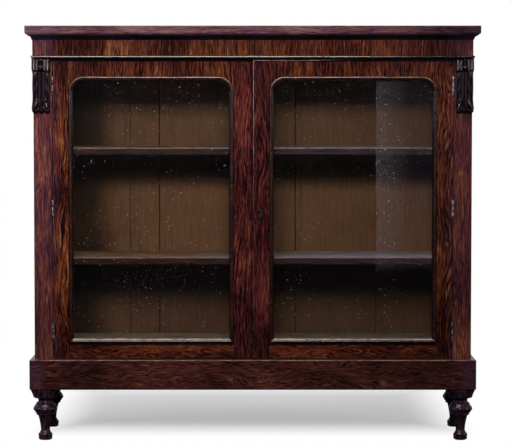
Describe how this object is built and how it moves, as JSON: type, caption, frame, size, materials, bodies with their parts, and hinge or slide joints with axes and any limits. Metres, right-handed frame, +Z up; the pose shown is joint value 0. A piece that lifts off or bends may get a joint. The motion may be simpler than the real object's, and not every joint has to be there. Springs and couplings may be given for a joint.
{
  "type": "display cabinet",
  "caption": "Free-standing glazed display cabinet: hinged doors with arched panes, fixed shelves, boarded back, carved corbels, plinth and turned tapered feet.",
  "frame": {"origin": "centre of the footprint, on the floor under the feet", "axes": "+X to the right along the width, +Y from the doors to the back, +Z up"},
  "size_m": [1.22, 0.355, 1.12],
  "materials": {
    "rosewood": "french polished",
    "carved_rosewood": "waxed",
    "shelf_wood": "stained and worn",
    "pine": "stained",
    "glass": "polished",
    "brass": "aged",
    "iron": "dark"
  },
  "bodies": {
    "carcass": {"top_board": "rosewood", "top_moulding_front": "rosewood", "top_moulding_returns": "rosewood", "frieze_front": "rosewood", "frieze_bead": "rosewood", "head_rail": "pine", "door_stop_strip": "pine", "left_end_panel": "rosewood", "right_end_panel": "rosewood", "left_pilaster": "rosewood", "right_pilaster": "rosewood", "left_corbel": "carved_rosewood", "right_corbel": "carved_rosewood", "inner_top_panel": "pine", "bottom_board": "pine", "bottom_front_rail": "pine", "upper_shelf": "shelf_wood", "lower_shelf": "shelf_wood", "shelf_bearers": "pine", "back_boards": "pine", "back_nails": "iron", "plinth_front": "rosewood", "plinth_left": "rosewood", "plinth_right": "rosewood", "plinth_back": "pine", "plinth_top_rail": "pine", "foot_blocks": "pine", "front_left_foot": "carved_rosewood", "front_right_foot": "carved_rosewood", "rear_left_foot": "carved_rosewood", "rear_right_foot": "carved_rosewood", "frame_hinge_leaves": "brass", "hinge_pins": "brass", "frame_hinge_screws": "brass", "bolt_keepers": "brass"},
    "left_door": {"left_hinge_stile": "rosewood", "left_meeting_stile": "rosewood", "left_top_rail": "rosewood", "left_bottom_rail": "rosewood", "left_sight_moulding": "rosewood", "left_glass": "glass", "left_glazing_beads": "rosewood", "left_hinge_leaves": "brass", "left_hinge_screws": "brass", "left_edge_plates": "brass"},
    "right_door": {"right_hinge_stile": "rosewood", "right_meeting_stile": "rosewood", "right_top_rail": "rosewood", "right_bottom_rail": "rosewood", "right_sight_moulding": "rosewood", "right_glass": "glass", "right_glazing_beads": "rosewood", "right_hinge_leaves": "brass", "right_hinge_screws": "brass", "meeting_bead": "rosewood", "escutcheon": "brass", "lock_case": "iron"},
    "upper_bolt": {"top_bolt": "brass"},
    "lower_bolt": {"bottom_bolt": "brass"},
    "lock_tongue": {"lock_bolt": "brass"}
  },
  "joints": [
    {"name": "left_door_hinge", "type": "hinge", "parent": "carcass", "child": "left_door", "pos_m": [-0.54025, -0.134, 0.627], "axis": [0, 0, -1], "range_deg": [0, 95]},
    {"name": "right_door_hinge", "type": "hinge", "parent": "carcass", "child": "right_door", "pos_m": [0.54025, -0.134, 0.627], "axis": [0, 0, 1], "range_deg": [0, 95]},
    {"name": "top_bolt_slide", "type": "slide", "parent": "left_door", "child": "upper_bolt", "axis": [0, 0, 1], "range_m": [0, 0.01]},
    {"name": "bottom_bolt_slide", "type": "slide", "parent": "left_door", "child": "lower_bolt", "axis": [0, 0, -1], "range_m": [0, 0.01]},
    {"name": "lock_bolt_slide", "type": "slide", "parent": "right_door", "child": "lock_tongue", "axis": [-1, 0, 0], "range_m": [0, 0.008]}
  ]
}
